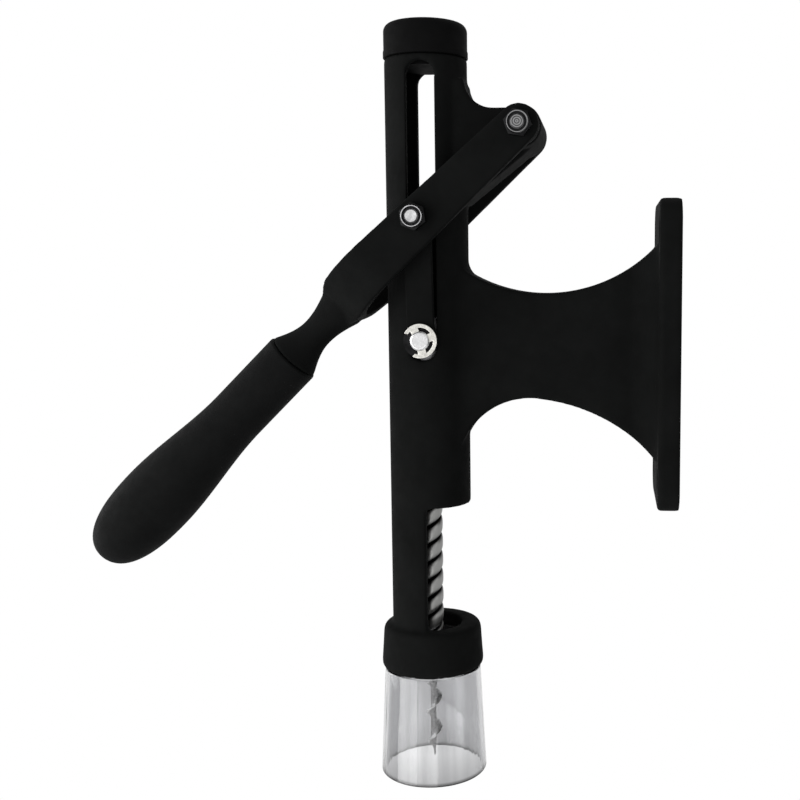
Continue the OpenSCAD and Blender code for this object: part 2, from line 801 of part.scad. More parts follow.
// An E clip: an open ring with three teeth that reach into the pin's groove.
module clip() {
    tooth_in = pin_d / 2 - pin_groove + seat_gap;
    near = clip_mouth / 2;
    far = near + clip_d * tan(mouth_flare);
    linear_extrude(clip_t - seat_gap) {
        difference() {
            circle(d = clip_d);
            circle(d = clip_in_d);
            rotate(clip_turn) polygon([[0, -near], [clip_d, -far], [clip_d, far], [0, near]]);
        }
        intersection() {
            circle(d = clip_d - clip_t);
            for (a = [180, -tooth_turn, tooth_turn]) rotate(clip_turn + a)
                translate([tooth_in, -clip_tooth / 2]) square([clip_d / 2 - tooth_in, clip_tooth]);
        }
    }
}

module pin_clips() color(bright_steel) {
    for (side = [-1, 1]) outward(pin_at, clip_y + seat_gap / 2, side) clip();
}

module pin_washers() color(dark_steel) {
    for (side = [-1, 1])
        outward(pin_at, clip_y - washer_t, side) ring(washer_t, link_eye_r, pin_d / 2 + seat_gap);
}

module thrust_washer() color(bronze) {
    on_tube(pocket_top - thrust_t) ring(thrust_t, pocket_d / 2 - seat_gap, thrust_hole_d / 2);
}

module swivel_nut() color(dark_steel) {
    nut_top = head_foot - face_gap / 2;
    on_tube(crosshead_foot) difference() {
        ring(nut_top - crosshead_foot, pocket_d / 2 - seat_gap, spindle_d / 2 + slide_gap);
        translate([-pocket_d, -swivel_notch / 2, -lap])
            cube([2 * pocket_d, swivel_notch, swivel_notch + lap]);
    }
}

// The spindle's section: a round bar with two grooves. A positive gap makes the hole that it runs in.
module spindle_section(gap = 0) {
    difference() {
        circle(spindle_d / 2 + gap, $fn = 20);
        for (a = [0, 180]) rotate(a)
            translate([spindle_d / 2 + groove_out, 0]) circle(groove_r - gap, $fn = 10);
    }
}

// Right-handed helix of the spindle between two levels, in step at every level.
module spindle_helix(low, high, gap = 0) {
    turns = (high - low) / spindle_lead;
    on_tube(low) rotate(360 * low / spindle_lead)
        linear_extrude(high - low, twist = -360 * turns, slices = ceil(steps_per_turn * turns), segments = 1)
            spindle_section(gap);
}

module spindle() color(bright_steel) {
    difference() {
        union() {
            spindle_helix(spindle_foot, head_foot + spindle_head_h / 2);
            on_tube(head_foot) cylinder(h = spindle_head_h, d = pocket_d - 2 * slide_gap);
        }
        on_tube(spindle_foot - lap) cylinder(h = shank_l + lap + seat_gap, d = shank_d + 2 * seat_gap);
    }
}

// The worm's section: a thin core with one blade.
module worm_section() {
    circle(d = worm_core_d, $fn = 10);
    translate([0, -worm_blade_t / 2]) square([worm_d / 2, worm_blade_t]);
}

module worm() color(bright_steel) {
    body_l = worm_l - worm_point;
    turns = body_l / worm_pitch;
    point_turns = worm_point / worm_pitch;
    on_tube(spindle_foot) {
        cylinder(h = shank_l, d = shank_d);
        translate([0, 0, -worm_cone_h]) cylinder(h = worm_cone_h, d1 = worm_core_d, d2 = worm_d);
        mirror([0, 0, 1]) {
            linear_extrude(body_l, twist = 360 * turns, slices = ceil(steps_per_turn * turns), segments = 1)
                worm_section();
            translate([0, 0, body_l]) rotate(-360 * turns)
                linear_extrude(worm_point, twist = 360 * point_turns, scale = tip_share,
                    slices = ceil(steps_per_turn * point_turns), segments = 1) worm_section();
        }
    }
}

module drive_nut() color(bronze) {
    key_seat = key_w + 2 * seat_gap;
    difference() {
        on_tube(nut_foot) cylinder(h = drive_nut_l, d = slider_d);
        spindle_helix(nut_foot - lap, nut_foot + drive_nut_l + lap, slide_gap);
        for (side = [-1, 1]) on_tube(nut_foot - lap)
            translate([side * slider_d / 2 - key_w / 2, -key_seat / 2, 0])
                cube([key_w, key_seat, drive_nut_l + 2 * lap]);
    }
}

module nut_keys() color(dark_steel) {
    depth = key_w / 2 - seat_gap;
    for (side = [-1, 1]) on_tube(nut_foot)
        translate([side * (slider_d / 2 + (key_proud - depth) / 2) - (key_proud + depth) / 2, -key_w / 2, 0])
            cube([key_proud + depth, key_w, drive_nut_l]);
}

body_casting();
top_cap();
bottle_bell();
bottle_stop_ring();
lower_ring();
upper_ring();
pivot_bush();
lever_fork();
handle_grip();
handle_screw();
pivot_bolt();
pivot_nut();
pivot_washers();
link_bolts();
link_nuts();
front_link();
rear_link();
crosshead();
cross_pin();
pin_clips();
pin_washers();
thrust_washer();
swivel_nut();
spindle();
worm();
drive_nut();
nut_keys();
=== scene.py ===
# %% [markdown]
# # A wall-mounted corkscrew
# A black casting carries a slotted tube. A forked lever pulls a slider up the tube through two flat links,
# and a grooved spindle under the slider turns the worm. This lesson dresses the solids of that machine:
# it softens the cast edges, turns the round pieces on a spin, winds the spindle and the worm as true helices,
# and gives every piece a finish made of nodes. All lengths are in metres, in the same frame as the solids:
# the origin is the middle of the wall plate's back face, +X runs into the wall and +Z is up.

# %% Load the frame
import json
from math import atan2, cos, exp, pi, radians, sin
import bmesh
import bpy
from mathutils import Matrix, Vector


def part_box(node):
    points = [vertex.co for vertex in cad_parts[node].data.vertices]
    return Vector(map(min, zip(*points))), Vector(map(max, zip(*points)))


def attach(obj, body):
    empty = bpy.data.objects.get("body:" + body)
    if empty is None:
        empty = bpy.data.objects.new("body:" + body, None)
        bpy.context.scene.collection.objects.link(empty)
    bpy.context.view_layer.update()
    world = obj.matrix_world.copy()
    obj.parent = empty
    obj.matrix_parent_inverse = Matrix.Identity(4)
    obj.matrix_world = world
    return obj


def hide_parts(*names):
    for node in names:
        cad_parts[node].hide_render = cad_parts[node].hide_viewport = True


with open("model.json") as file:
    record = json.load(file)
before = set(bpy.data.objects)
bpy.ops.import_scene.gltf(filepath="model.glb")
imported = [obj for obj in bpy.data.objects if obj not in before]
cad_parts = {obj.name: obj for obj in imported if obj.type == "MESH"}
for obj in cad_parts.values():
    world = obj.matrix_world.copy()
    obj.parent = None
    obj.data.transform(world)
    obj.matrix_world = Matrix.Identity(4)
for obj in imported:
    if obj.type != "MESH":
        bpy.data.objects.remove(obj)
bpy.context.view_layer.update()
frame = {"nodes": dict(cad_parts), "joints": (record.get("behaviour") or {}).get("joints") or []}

scene = bpy.context.scene
scene.view_settings.view_transform = "Standard"
joints = {j["name"]: j for j in frame["joints"]}
PIVOT = Vector(joints["lever_swing"]["pos_m"])
PIN = Vector(joints["link_swing"]["pos_m"])
AXIS_X = PIN.x
low, high = (Vector(corner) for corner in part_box("link_nuts"))
CRANK = (low + high) / 2
CRANK.y = 0

# %% [markdown]
# ## Camera
# The camera stands a little to the right of the tube and just above its middle, half a metre away.
# Its picture isn't centred on the lens axis, because the photograph was cropped, so the lens is shifted
# instead of turned: turning it would tilt the upright edges.

# %% Camera
FOCAL_PX = 1105.08
IMAGE_PX = 800
CENTRE_PX = (525.5, 392.27)
CAMERA_AT = (-0.02825, -0.47484, PIN.z + 0.02787)
yaw, pitch, roll = 0.07747, -0.1077, -0.003566
forward = Vector((-sin(yaw) * cos(pitch), cos(yaw) * cos(pitch), sin(pitch)))
level = Vector((cos(yaw), sin(yaw), 0))
upward = level.cross(forward)
right = cos(roll) * level + sin(roll) * upward
upward = cos(roll) * upward - sin(roll) * level
lens = bpy.data.cameras.new("camera")
lens.sensor_width = 36
lens.lens = FOCAL_PX / IMAGE_PX * lens.sensor_width
lens.shift_x = (IMAGE_PX / 2 - CENTRE_PX[0]) / IMAGE_PX
lens.shift_y = (CENTRE_PX[1] - IMAGE_PX / 2) / IMAGE_PX
lens.clip_start = 0.01
camera = bpy.data.objects.new("camera", lens)
scene.collection.objects.link(camera)
turn = Matrix((right, upward, -forward)).transposed().to_4x4()
camera.matrix_world = Matrix.Translation(CAMERA_AT) @ turn
scene.camera = camera
print("lens in mm:", round(lens.lens, 2))

# %% [markdown]
# ## Light, floor and background
# The background of a catalogue picture is plain white. The world gives that white to rays that come from the
# camera, from a mirror or through clear plastic, while the light that falls on the object stays at a plain
# level. A large lamp and a small one on the left shape the tube, a weak one on the right keeps that side
# readable, and a low one in front lifts the faces that are turned to the camera. The floor lies well below
# the bell, as a worktop would under a tool on the wall.

# %% Light, floor and background
AIM = (-0.11, 0, -0.02)
ROOM_LIGHT, FLOOR_GLOW = 0.42, 0.85
FLOOR_R, FLOOR_Z = 0.42, -0.45
# Name, place, width and height in metres, power in watts
LAMPS = (
    ("key_lamp", (-1.05, -0.7, -0.15), 1.0, 1.4, 15),
    ("side_lamp", (-0.85, 0.15, 0.05), 0.4, 0.8, 2.5),
    ("right_lamp", (0.5, -0.7, 0.2), 0.5, 0.5, 0.8),
    ("low_front_lamp", (-0.2, -1.1, -0.55), 0.9, 0.6, 3),
)


def seen_directly(tree):
    """A factor that is 1 for rays from the camera, from a mirror or through glass."""
    path = tree.nodes.new("ShaderNodeLightPath")
    first = tree.nodes.new("ShaderNodeMath")
    first.operation = "MAXIMUM"
    tree.links.new(path.outputs["Is Camera Ray"], first.inputs[0])
    tree.links.new(path.outputs["Is Glossy Ray"], first.inputs[1])
    both = tree.nodes.new("ShaderNodeMath")
    both.operation = "MAXIMUM"
    tree.links.new(first.outputs[0], both.inputs[0])
    tree.links.new(path.outputs["Is Transmission Ray"], both.inputs[1])
    return both.outputs[0]


world = bpy.data.worlds.new("white_room")
scene.world = world
world.use_nodes = True
sky = world.node_tree
backdrop = sky.nodes["Background"]
backdrop.inputs["Color"].default_value = (1, 1, 1, 1)
strength = sky.nodes.new("ShaderNodeMapRange")
strength.inputs["To Min"].default_value = ROOM_LIGHT
strength.inputs["To Max"].default_value = 1.0
sky.links.new(seen_directly(sky), strength.inputs["Value"])
sky.links.new(strength.outputs["Result"], backdrop.inputs["Strength"])


def area_lamp(name, place, target, width, height, power):
    """A soft lamp that faces the target."""
    lamp = bpy.data.lights.new(name, "AREA")
    lamp.shape = "RECTANGLE"
    lamp.size = width
    lamp.size_y = height
    lamp.energy = power
    holder = bpy.data.objects.new(name, lamp)
    holder.location = place
    holder.rotation_euler = (Vector(target) - Vector(place)).to_track_quat("-Z", "Y").to_euler()
    scene.collection.objects.link(holder)


for name, place, width, height, power in LAMPS:
    area_lamp(name, place, AIM, width, height, power)

bm = bmesh.new()
bmesh.ops.create_circle(bm, cap_ends=True, radius=FLOOR_R, segments=64)
bmesh.ops.translate(bm, verts=bm.verts, vec=(AIM[0], 0, FLOOR_Z))
floor_mesh = bpy.data.meshes.new("floor")
bm.to_mesh(floor_mesh)
bm.free()
floor = bpy.data.objects.new("floor", floor_mesh)
scene.collection.objects.link(floor)
floor_finish = bpy.data.materials.new("pale_floor")
floor_finish.use_nodes = True
tree = floor_finish.node_tree
matt = tree.nodes["Principled BSDF"]
matt.inputs["Base Color"].default_value = (0.9, 0.9, 0.9, 1)
matt.inputs["Roughness"].default_value = 0.8
glow = tree.nodes.new("ShaderNodeEmission")
glow.inputs["Color"].default_value = (1, 1, 1, 1)
share = tree.nodes.new("ShaderNodeMapRange")
share.inputs["To Min"].default_value = 0.0
share.inputs["To Max"].default_value = FLOOR_GLOW
blend = tree.nodes.new("ShaderNodeMixShader")
tree.links.new(seen_directly(tree), share.inputs["Value"])
tree.links.new(share.outputs["Result"], blend.inputs["Fac"])
tree.links.new(matt.outputs["BSDF"], blend.inputs[1])
tree.links.new(glow.outputs["Emission"], blend.inputs[2])
tree.links.new(blend.outputs["Shader"], tree.nodes["Material Output"].inputs["Surface"])
floor.data.materials.append(floor_finish)

# %% [markdown]
# ## Building blocks for finishes
# A real surface is never one flat colour. Each finish below mixes two close tones with a slow noise, lets the
# roughness drift with a second noise, and adds a fine bump. The noises read Object coordinates in metres, so
# a scale of 1000 gives spots of about one millimetre.

# %% Building blocks for finishes
def new_finish(name):
    """A material with a Principled shader; returns the material, its tree and the shader."""
    material = bpy.data.materials.new(name)
    material.use_nodes = True
    return material, material.node_tree, material.node_tree.nodes["Principled BSDF"]


def noise(tree, scale, detail, stretch=(1, 1, 1)):
    """Noise on Object coordinates, stretched by a Mapping node."""
    place = tree.nodes.new("ShaderNodeTexCoord")
    mapping = tree.nodes.new("ShaderNodeMapping")
    mapping.inputs["Scale"].default_value = stretch
    cloud = tree.nodes.new("ShaderNodeTexNoise")
    cloud.inputs["Scale"].default_value = scale
    cloud.inputs["Detail"].default_value = detail
    tree.links.new(place.outputs["Object"], mapping.inputs["Vector"])
    tree.links.new(mapping.outputs["Vector"], cloud.inputs["Vector"])
    return cloud.outputs["Fac"]


def between(tree, factor, low, high, start=0.3, stop=0.7):
    """Maps a factor to a value between low and high."""
    scale = tree.nodes.new("ShaderNodeMapRange")
    scale.inputs["From Min"].default_value = start
    scale.inputs["From Max"].default_value = stop
    scale.inputs["To Min"].default_value = low
    scale.inputs["To Max"].default_value = high
    tree.links.new(factor, scale.inputs["Value"])
    return scale.outputs["Result"]


def two_tones(tree, factor, dark, light, start=0.3, stop=0.7):
    """A colour ramp between two tones."""
    ramp = tree.nodes.new("ShaderNodeValToRGB")
    ramp.color_ramp.elements[0].position = start
    ramp.color_ramp.elements[0].color = (*dark, 1)
    ramp.color_ramp.elements[1].position = stop
    ramp.color_ramp.elements[1].color = (*light, 1)
    tree.links.new(factor, ramp.inputs["Fac"])
    return ramp.outputs["Color"]


def raise_bump(tree, shader, layers):
    """Stacks bump layers of (height, strength, depth in metres) and feeds the shader's normal."""
    last = None
    for height, amount, depth in layers:
        bump = tree.nodes.new("ShaderNodeBump")
        bump.inputs["Strength"].default_value = amount
        bump.inputs["Distance"].default_value = depth
        tree.links.new(height, bump.inputs["Height"])
        if last:
            tree.links.new(last, bump.inputs["Normal"])
        last = bump.outputs["Normal"]
    tree.links.new(last, shader.inputs["Normal"])


# %% [markdown]
# ## Black finishes
# The casting, the fork and the links share a dull black coat. Powder coat on cast metal has a very fine
# orange-peel skin over slow waves of the casting. The cap and the grip are moulded plastic: smoother,
# with a tighter grain. A dull coat keeps edges dark where they turn away from the camera; a glossier one
# would mirror the white room there as bright lines.

# %% Black finishes
def black_coat(name, dark, light, rough, grain, specular):
    """A black coat or plastic with slow tone changes, drifting gloss and a fine grain."""
    material, tree, shader = new_finish(name)
    tone = two_tones(tree, noise(tree, 55, 4), dark, light)
    tree.links.new(tone, shader.inputs["Base Color"])
    tree.links.new(between(tree, noise(tree, 260, 3), rough[0], rough[1]), shader.inputs["Roughness"])
    shader.inputs["Specular IOR Level"].default_value = specular
    raise_bump(tree, shader, [(noise(tree, 120, 2), 0.25, 0.0004), (noise(tree, grain, 2), 0.16, 0.00012)])
    return material


coat = black_coat("dull_black_coat", (0.0042, 0.0044, 0.0043), (0.0062, 0.0065, 0.0064),
                  (0.78, 0.9), 1500, 0.03)
grip_black = black_coat("moulded_grip_black", (0.0038, 0.004, 0.004), (0.0056, 0.0058, 0.0058),
                        (0.64, 0.76), 2600, 0.035)
cap_black = black_coat("moulded_cap_black", (0.0024, 0.0024, 0.0025), (0.0036, 0.0036, 0.0037),
                       (0.66, 0.78), 2200, 0.03)
rubber = black_coat("stop_ring_rubber", (0.012, 0.012, 0.012), (0.02, 0.02, 0.02), (0.75, 0.9), 1800, 0.2)
print("black finishes:", coat.name, grip_black.name, cap_black.name, rubber.name)

# %% [markdown]
# ## Metals
# Nuts with a bright rolled lip on a hexagon that is painted near black as a dark reflection, bolts with a
# bright cut end and a last thread painted dark as shade, turned steel on the pin, oiled steel inside the tube
# and bronze for the bearings. The difference is in the tone, in the gloss and in the direction of the marks:
# turned faces have rings, drawn bar has lines along its length.

# %% Metals
MARK_DEPTH = 0.00003
# Distance between the rings of a wave texture of scale 1, in metres
RING_STEP = 0.314


def metal(name, dark, light, rough, marks, stretch):
    """A metal with two tones, drifting gloss and tool marks from a stretched noise."""
    material, tree, shader = new_finish(name)
    shader.inputs["Metallic"].default_value = 1.0
    tree.links.new(two_tones(tree, noise(tree, 420, 4), dark, light), shader.inputs["Base Color"])
    tree.links.new(between(tree, noise(tree, 900, 3), rough[0], rough[1]), shader.inputs["Roughness"])
    raise_bump(tree, shader, [(noise(tree, marks, 2, stretch), 0.3, MARK_DEPTH)])
    return material


def turned_metal(name, dark, light, rough, centre, pitch_m):
    """A lathe-turned metal: fine rings about a line along Y through the centre."""
    material, tree, shader = new_finish(name)
    shader.inputs["Metallic"].default_value = 1.0
    place = tree.nodes.new("ShaderNodeTexCoord")
    mapping = tree.nodes.new("ShaderNodeMapping")
    mapping.inputs["Location"].default_value = (-centre[0], 0, -centre[1])
    rings = tree.nodes.new("ShaderNodeTexWave")
    rings.wave_type = "RINGS"
    rings.rings_direction = "Y"
    rings.inputs["Scale"].default_value = RING_STEP / pitch_m
    rings.inputs["Distortion"].default_value = 1.5
    tree.links.new(place.outputs["Object"], mapping.inputs["Vector"])
    tree.links.new(mapping.outputs["Vector"], rings.inputs["Vector"])
    tree.links.new(two_tones(tree, rings.outputs["Fac"], dark, light, 0.1, 0.9), shader.inputs["Base Color"])
    tree.links.new(between(tree, noise(tree, 700, 3), rough[0], rough[1]), shader.inputs["Roughness"])
    raise_bump(tree, shader, [(rings.outputs["Fac"], 0.25, MARK_DEPTH)])
    return material


# Painted shade: the bolts' shanks take this dark zinc, so their last thread and chamfer read as lying in
# shadow.
zinc_with_painted_shade = metal("zinc_with_painted_shade", (0.05, 0.05, 0.052), (0.12, 0.12, 0.122), (0.3, 0.46), 1500, (1, 1, 1))
lip_zinc = metal("rolled_lip_zinc", (0.42, 0.42, 0.43), (0.68, 0.68, 0.69), (0.2, 0.34), 1500, (1, 1, 1))
bolt_end = metal("cut_bolt_end", (0.36, 0.36, 0.365), (0.66, 0.66, 0.665), (0.22, 0.38), 1300, (1, 1, 0.25))
pin_steel = turned_metal("turned_pin_steel", (0.5, 0.5, 0.505), (0.74, 0.74, 0.745), (0.18, 0.3),
                         (PIN.x, PIN.z), 0.0005)
pivot_zinc = turned_metal("dull_pivot_zinc", (0.05, 0.05, 0.051), (0.26, 0.26, 0.262), (0.28, 0.42),
                          (PIVOT.x, PIVOT.z), 0.0009)
clip_steel = metal("spring_clip_steel", (0.5, 0.49, 0.46), (0.66, 0.65, 0.61), (0.2, 0.34), 2200, (1, 1, 0.2))
oiled = metal("oiled_steel", (0.16, 0.16, 0.165), (0.26, 0.26, 0.265), (0.28, 0.42), 1200, (1, 1, 0.1))
# Near black: on the nuts' hexagons this tone is a painted dark reflection of the room the flats would mirror;
# the washers are black.
near_black_metal = metal("black_steel_and_painted_dark_reflection", (0.007, 0.007, 0.0073), (0.014, 0.014, 0.0143), (0.42, 0.56),
                  1200, (1, 1, 1))
bronze = metal("turned_bronze", (0.5, 0.34, 0.16), (0.62, 0.44, 0.22), (0.28, 0.4), 1600, (0.15, 0.15, 1))
metals = (zinc_with_painted_shade, lip_zinc, bolt_end, pin_steel, pivot_zinc, clip_steel, oiled, near_black_metal, bronze)
print("metals:", ", ".join(m.name for m in metals))

# %% [markdown]
# ## Softening the castings
# The solids have the right shapes but knife edges, and nothing that comes out of a mould has those. For the
# two castings a copy of the solid is merged and remeshed into an even net of small squares, and a few rounds
# of smoothing then melt every edge by about a millimetre and leave a small fillet in every inside corner,
# as molten metal does. Bevelled edges would stay sharp in those inside corners. For stamped and turned
# pieces the edges are only broken, so there a small bevel by operator is the better tool.

# %% Softening the castings
def finish_piece(bm, name, material, body, node, smooth=30):
    """Makes an object of a mesh, gives it its finish, lets it ride on its body and stand for its node."""
    mesh = bpy.data.meshes.new(name)
    bm.to_mesh(mesh)
    bm.free()
    mesh.shade_smooth()
    mesh.set_sharp_from_angle(angle=radians(smooth))
    piece = bpy.data.objects.new(name, mesh)
    scene.collection.objects.link(piece)
    even = piece.modifiers.new("even_shading", "WEIGHTED_NORMAL")
    even.keep_sharp = True
    mesh.materials.append(material)
    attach(piece, body)
    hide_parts(node)
    print(name, "faces:", len(mesh.polygons))
    return piece


def merged_copy(node):
    """A copy of a solid with its triangles joined and its flat faces whole."""
    bm = bmesh.new()
    bm.from_mesh(frame["nodes"][node].data)
    bmesh.ops.remove_doubles(bm, verts=bm.verts, dist=3e-6)
    bmesh.ops.dissolve_degenerate(bm, dist=1e-6, edges=bm.edges)
    bmesh.ops.dissolve_limit(bm, angle_limit=radians(0.6), verts=bm.verts, edges=bm.edges)
    return bm


def round_edges(bm, width, segments=3, angle=30):
    """Rounds the edges that are sharper than the angle."""
    edges = [e for e in bm.edges if len(e.link_faces) == 2 and e.calc_face_angle(0) > radians(angle)]
    bmesh.ops.bevel(bm, geom=edges, offset=width, offset_type="OFFSET", affect="EDGES", segments=segments,
                    profile=0.5, material=-1, clamp_overlap=False)
    bmesh.ops.remove_doubles(bm, verts=bm.verts, dist=2e-6)


def cast_skin(node, cell, rounds):
    """A copy of a solid as an even net of small squares with melted edges, as a bmesh."""
    bm = merged_copy(node)
    mesh = bpy.data.meshes.new(node + "_copy")
    bm.to_mesh(mesh)
    bm.free()
    copy = bpy.data.objects.new(node + "_copy", mesh)
    scene.collection.objects.link(copy)
    net = copy.modifiers.new("net", "REMESH")
    net.mode = "VOXEL"
    net.voxel_size = cell
    melt = copy.modifiers.new("melt", "SMOOTH")
    melt.factor = 0.5
    melt.iterations = rounds
    graph = bpy.context.evaluated_depsgraph_get()
    skin = bmesh.new()
    skin.from_object(copy, graph)
    bpy.data.objects.remove(copy)
    bpy.data.meshes.remove(mesh)
    return skin


SMOOTH_ALL = 180
bm = cast_skin("body_casting", 0.00101, 5)
finish_piece(bm, "casting", coat, "frame", "body_casting", SMOOTH_ALL)
bm = cast_skin("lever_fork", 0.0007, 8)
finish_piece(bm, "fork", coat, "lever", "lever_fork", SMOOTH_ALL)

for node in ("front_link", "rear_link"):
    bm = merged_copy(node)
    round_edges(bm, 0.0005, 3)
    finish_piece(bm, node + "_bar", coat, "links", node)

# %% [markdown]
# ## Turned pieces
# The cap, the grip and the bell are round, so each is a half outline that is spun once about its own axis.
# The outline is a chain of a few vertices, with the moulded radii of the cap and the grip as short arcs in
# it, and a spin with merged ends closes it. The grip swells slowly from its front to its widest place and
# closes in a blunt dome, so its outline follows a smooth step and then a curve that is fuller than a circle.

# %% Turned pieces
def spun(outline, steps, closed=False):
    """Spins an outline of (radius, height) about the Z axis into a closed skin."""
    bm = bmesh.new()
    chain = [bm.verts.new((r, 0, z)) for r, z in outline]
    pairs = list(zip(chain, chain[1:])) + ([(chain[-1], chain[0])] if closed else [])
    edges = [bm.edges.new(pair) for pair in pairs]
    bmesh.ops.spin(bm, geom=chain + edges, cent=(0, 0, 0), axis=(0, 0, 1), angle=2 * pi, steps=steps,
                   use_merge=True)
    bmesh.ops.remove_doubles(bm, verts=bm.verts, dist=1e-6)
    bmesh.ops.dissolve_degenerate(bm, dist=1e-7, edges=bm.edges)
    bmesh.ops.recalc_face_normals(bm, faces=bm.faces)
    return bm


def stand(place, direction):
    """A matrix that moves a piece to a place with its Z axis along a direction."""
    return Matrix.Translation(place) @ Vector(direction).to_track_quat("Z", "Y").to_matrix().to_4x4()


SEAT_GAP = 0.0001
CAP_SIDE, CAP_ROUND, CAP_H = 0.01765, 0.0034, 0.0143
PLUG_R, PLUG_L = 0.0129, 0.004
LEDGE_R, LEDGE_ROUND, LEDGE_H, LEDGE_TOP = 0.0179, 0.0003, 0.0027, 0.0034
CAP_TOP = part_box("top_cap")[1][2]
outline = [(0, -PLUG_L), (PLUG_R, -PLUG_L), (PLUG_R, 0), (LEDGE_R - LEDGE_ROUND, 0), (LEDGE_R, LEDGE_ROUND),
           (LEDGE_R, LEDGE_H), (CAP_SIDE, LEDGE_TOP)]
for a in range(0, 91, 9):
    inward, downward = 1 - cos(radians(a)), 1 - sin(radians(a))
    outline.append((CAP_SIDE - CAP_ROUND * inward, CAP_H - CAP_ROUND * downward))
bm = spun(outline + [(0, CAP_H)], 96)
bm.transform(Matrix.Translation((AXIS_X, 0, CAP_TOP - CAP_H)))
finish_piece(bm, "cap", cap_black, "frame", "top_cap", 50)

LEVER_ANGLE = radians(45)
along = Vector((-cos(LEVER_ANGLE), 0, -sin(LEVER_ANGLE)))
across = Vector((-sin(LEVER_ANGLE), 0, cos(LEVER_ANGLE)))
GRIP_SIDE = 0.004296
GRIP_X, GRIP_L = 0.1395, 0.127
FRONT_R, FRONT_ROUND = 0.0122, 0.001
SWELL_R, SWELL_X, SWELL_START, BLUNT = 0.0166, 0.09, 0.4, 2.5
DOME_L = GRIP_L - SWELL_X
TANG_R, TANG_STOP = 0.0052, 0.0139
HEAD_R, HEAD_SINK, SCREW_R = 0.0046, 0.005, 0.0026
RIM_STEP = 0.0003


def grip_radius(s):
    """Radius of the grip at distance s from its front."""
    start = SWELL_START * SWELL_X
    if s <= SWELL_X:
        k = min(max((s - start) / (SWELL_X - start), 0), 1)
        return FRONT_R + (SWELL_R - FRONT_R) * k * k * (3 - 2 * k)
    return SWELL_R * max(1 - ((s - SWELL_X) / DOME_L) ** BLUNT, 0) ** (1 / BLUNT)


outline = [(TANG_R, SEAT_GAP), (FRONT_R - FRONT_ROUND, SEAT_GAP)]
for a in (22, 45, 68, 90):
    outward, backward = sin(radians(a)), 1 - cos(radians(a))
    outline.append((FRONT_R - FRONT_ROUND + FRONT_ROUND * outward, SEAT_GAP + FRONT_ROUND * backward))
stations = [SWELL_X * k / 36 for k in range(1, 37)]
stations += [SWELL_X + DOME_L * sin(radians(a)) for a in range(4, 74, 4)]
rim = SWELL_X + DOME_L * (1 - (HEAD_R / SWELL_R) ** BLUNT) ** (1 / BLUNT)
stations += [rim - 2 * RIM_STEP, rim - RIM_STEP]
outline += [(grip_radius(s), s) for s in stations]
seat, stop = GRIP_L - HEAD_SINK, GRIP_L - TANG_STOP
outline += [(HEAD_R, rim), (HEAD_R, seat), (SCREW_R, seat), (SCREW_R, stop), (TANG_R, stop)]
bm = spun(outline, 96, closed=True)
grip_place = PIVOT + GRIP_X * along + GRIP_SIDE * across
bm.transform(stand(grip_place, along))
finish_piece(bm, "grip", grip_black, "lever", "handle_grip", 50)

# %% [markdown]
# ## Clear bell
# The bell is a clear plastic cup that drops over the bottle's neck. It is a wall of even thickness, so its
# outline is a closed loop that is spun once. Clear plastic shows mostly by its edges: the rim is rounded,
# faint upright flow lines from moulding bend the light a little, and painted shade darkens the grey tint
# towards the rim and most of all at its cut edge.

# %% Clear bell
BELL_H, BELL_WALL = 0.0473, 0.002
BELL_NECK_R, BELL_RIM_R = 0.0212, 0.0235
SPIGOT_IN_R, SPIGOT_R, SPIGOT_H = 0.0178, 0.0198, 0.01
BELL_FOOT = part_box("bottle_bell")[0][2]
COLLAR_FOOT = BELL_FOOT + BELL_H
outline = [(SPIGOT_IN_R, SPIGOT_H), (SPIGOT_R, SPIGOT_H), (SPIGOT_R, -SEAT_GAP), (BELL_NECK_R, -SEAT_GAP),
           (BELL_RIM_R, -BELL_H), (BELL_RIM_R - BELL_WALL, -BELL_H), (BELL_NECK_R - BELL_WALL, -BELL_WALL),
           (SPIGOT_IN_R, 0)]
bm = spun(outline, 128, closed=True)
round_edges(bm, 0.0006, 3, 40)
bm.transform(Matrix.Translation((AXIS_X, 0, COLLAR_FOOT)))
clear, tree, shader = new_finish("clear_moulded_plastic")
streaks = noise(tree, 170, 3, (1, 1, 0.02))
place = tree.nodes.new("ShaderNodeTexCoord")
level_of = tree.nodes.new("ShaderNodeSeparateXYZ")
tree.links.new(place.outputs["Object"], level_of.inputs["Vector"])
# Painted shade: the tint darkens towards the foot of the bell and most of all at its cut edge.
rim_painted_shade = between(tree, level_of.outputs["Z"], 0.66, 1.03, BELL_FOOT, BELL_FOOT + 0.014)
edge_painted_shade = between(tree, level_of.outputs["Z"], 0.25, 1.0, BELL_FOOT + 0.0007, BELL_FOOT + 0.0015)
painted_shade_factor = tree.nodes.new("ShaderNodeMath")
painted_shade_factor.operation = "MULTIPLY"
tree.links.new(rim_painted_shade, painted_shade_factor.inputs[0])
tree.links.new(edge_painted_shade, painted_shade_factor.inputs[1])
tint_with_painted_shade = tree.nodes.new("ShaderNodeVectorMath")
tint_with_painted_shade.operation = "SCALE"
tint = two_tones(tree, streaks, (0.48, 0.482, 0.492), (0.64, 0.643, 0.652), 0.34, 0.62)
tree.links.new(tint, tint_with_painted_shade.inputs[0])
tree.links.new(painted_shade_factor.outputs[0], tint_with_painted_shade.inputs["Scale"])
tree.links.new(tint_with_painted_shade.outputs["Vector"], shader.inputs["Base Color"])
shader.inputs["Transmission Weight"].default_value = 1.0
shader.inputs["IOR"].default_value = 1.49
tree.links.new(between(tree, noise(tree, 300, 2), 0.0, 0.05), shader.inputs["Roughness"])
raise_bump(tree, shader, [(streaks, 0.3, 0.0006)])
finish_piece(bm, "bell", clear, "frame", "bottle_bell", 40)

